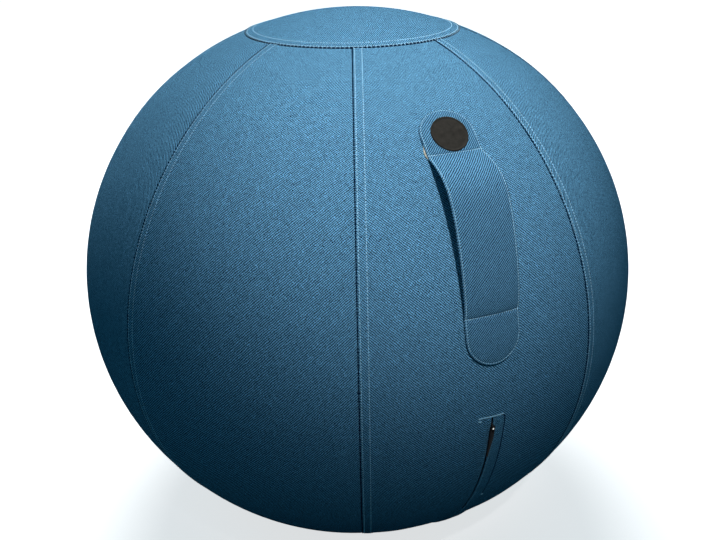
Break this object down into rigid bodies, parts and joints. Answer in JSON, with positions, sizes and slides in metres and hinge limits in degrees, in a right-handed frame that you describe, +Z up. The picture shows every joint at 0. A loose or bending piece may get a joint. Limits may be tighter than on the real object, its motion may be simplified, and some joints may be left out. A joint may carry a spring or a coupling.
{
  "type": "balance ball chair",
  "caption": "Cloth-covered inflatable sitting ball with gored cover, round top and base panels, bowed carry handle with a plain badge, and a lapped zip with a sliding pull.",
  "frame": {"origin": "middle of the flat patch that rests on the floor, under the ball's axis", "axes": "+Z up along the ball's axis; the carry handle and the zip face -Y; +X is to the right of someone who faces the handle"},
  "size_m": [0.6498, 0.6533, 0.6243],
  "materials": {
    "cover_cloth": "matte",
    "handle_cloth": "matte",
    "webbing": "matte",
    "thread": "matte",
    "zip_tape": "matte",
    "zip_coil": "satin",
    "zip_metal": "satin",
    "pull_metal": "satin",
    "badge_rubber": "matte",
    "ball_vinyl": "satin",
    "valve_plastic": "satin"
  },
  "bodies": {
    "cover": {"gore_panel_1": "cover_cloth", "gore_panel_2": "cover_cloth", "gore_panel_3": "cover_cloth", "gore_panel_4": "cover_cloth", "gore_panel_5": "cover_cloth", "gore_panel_6": "cover_cloth", "gore_panel_7": "cover_cloth", "gore_panel_8": "cover_cloth", "top_cap": "cover_cloth", "base_panel": "cover_cloth", "inner_ball": "ball_vinyl", "valve_seat": "ball_vinyl", "valve_plug": "valve_plastic", "handle_cloth": "handle_cloth", "handle_webbing": "webbing", "handle_badge": "badge_rubber", "zip_tape_left": "zip_tape", "zip_tape_right": "zip_tape", "zip_coil_left": "zip_coil", "zip_coil_right": "zip_coil", "zip_top_stops": "zip_metal", "zip_bottom_stop": "zip_metal", "zip_flap_left": "cover_cloth", "zip_flap_right": "cover_cloth", "zip_upper_tack": "thread", "zip_lower_tack": "thread"},
    "slider": {"zip_slider": "zip_metal"},
    "pull": {"zip_pull": "pull_metal"}
  },
  "joints": [
    {"name": "zip_travel", "type": "hinge", "parent": "cover", "child": "slider", "pos_m": [0, -0.015, 0.31032], "axis": [1, 0, 0], "range_deg": [0, 52.2]},
    {"name": "pull_swing", "type": "hinge", "parent": "slider", "child": "pull", "pos_m": [0, -0.32673, 0.28392], "axis": [-1, 0, 0], "range_deg": [0, 150]}
  ]
}
